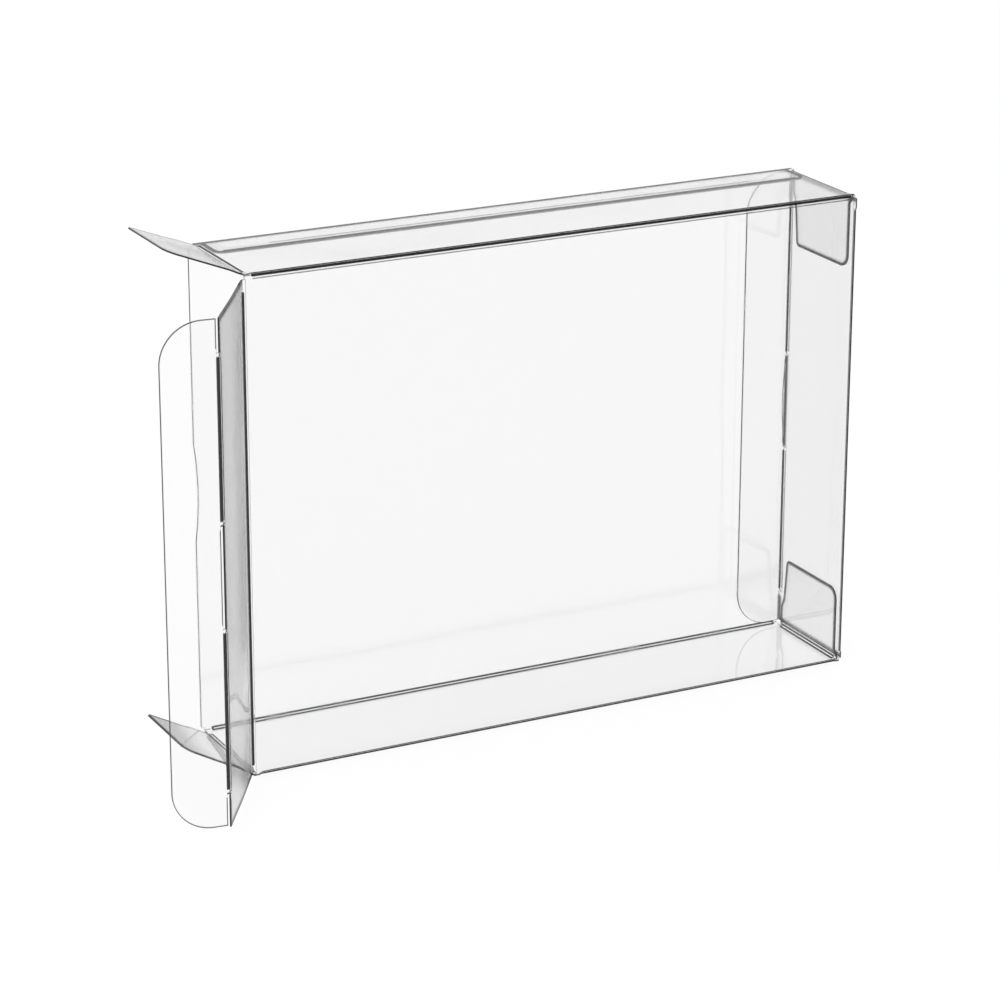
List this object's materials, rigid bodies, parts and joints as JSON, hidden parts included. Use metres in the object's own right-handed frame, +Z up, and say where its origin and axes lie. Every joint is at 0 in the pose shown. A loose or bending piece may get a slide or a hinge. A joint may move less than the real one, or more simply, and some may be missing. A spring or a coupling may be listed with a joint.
{
  "type": "cartridge protector sleeve",
  "caption": "Clear film folding sleeve for a boxed game cartridge: a creased, glued tube with tuck-in end flaps and dust flaps, one end tucked shut and the other open.",
  "frame": {"origin": "centre of the bottom panel's outer face, on the surface the sleeve stands on", "axes": "+Z up, +X along the length towards the end that is tucked shut, -Y out of the large front panel that carries both end flaps"},
  "size_m": [0.2078, 0.0615, 0.1394],
  "materials": {
    "clear_film": "clear gloss film, 0.4 mm"
  },
  "bodies": {
    "sleeve": {"sleeve": "clear_film"},
    "open_end_flap": {"open_end_flap": "clear_film"},
    "open_end_tuck_tab": {"open_end_tuck_tab": "clear_film"},
    "open_end_dust_flap_top": {"open_end_dust_flap_top": "clear_film"},
    "open_end_dust_flap_bottom": {"open_end_dust_flap_bottom": "clear_film"},
    "closed_end_flap": {"closed_end_flap": "clear_film"},
    "closed_end_tuck_tab": {"closed_end_tuck_tab": "clear_film"}
  },
  "joints": [
    {"name": "open_end_flap_hinge", "type": "hinge", "parent": "sleeve", "child": "open_end_flap", "pos_m": [-0.0877, -0.0167, 0.0659], "axis": [0, 0, 1], "range_deg": [-147.4, 42.6]},
    {"name": "open_end_tuck_tab_fold", "type": "hinge", "parent": "open_end_flap", "child": "open_end_tuck_tab", "pos_m": [-0.10516, -0.044, 0.0659], "axis": [0, 0, 1], "range_deg": [-46, 14]},
    {"name": "open_end_dust_flap_bottom_fold", "type": "hinge", "parent": "sleeve", "child": "open_end_dust_flap_bottom", "pos_m": [-0.087, 0, 0.0002], "axis": [0, -1, 0], "range_deg": [-86, 25]},
    {"name": "open_end_dust_flap_top_fold", "type": "hinge", "parent": "sleeve", "child": "open_end_dust_flap_top", "pos_m": [-0.087, 0, 0.1316], "axis": [0, 1, 0], "range_deg": [-112, 39]},
    {"name": "closed_end_flap_hinge", "type": "hinge", "parent": "sleeve", "child": "closed_end_flap", "pos_m": [0.0877, -0.0167, 0.0659], "axis": [0, 0, -1], "range_deg": [0, 105]},
    {"name": "closed_end_tuck_tab_fold", "type": "hinge", "parent": "closed_end_flap", "child": "closed_end_tuck_tab", "pos_m": [0.0877, 0.0157, 0.0659], "axis": [0, 0, -1], "range_deg": [-37, 0]}
  ],
  "couplings": [
    {"joint": "open_end_tuck_tab_fold", "follows": "open_end_flap_hinge", "ratio": 0.31},
    {"joint": "open_end_dust_flap_bottom_fold", "follows": "open_end_flap_hinge", "ratio": 0.58},
    {"joint": "closed_end_tuck_tab_fold", "follows": "closed_end_flap_hinge", "ratio": -0.35}
  ]
}
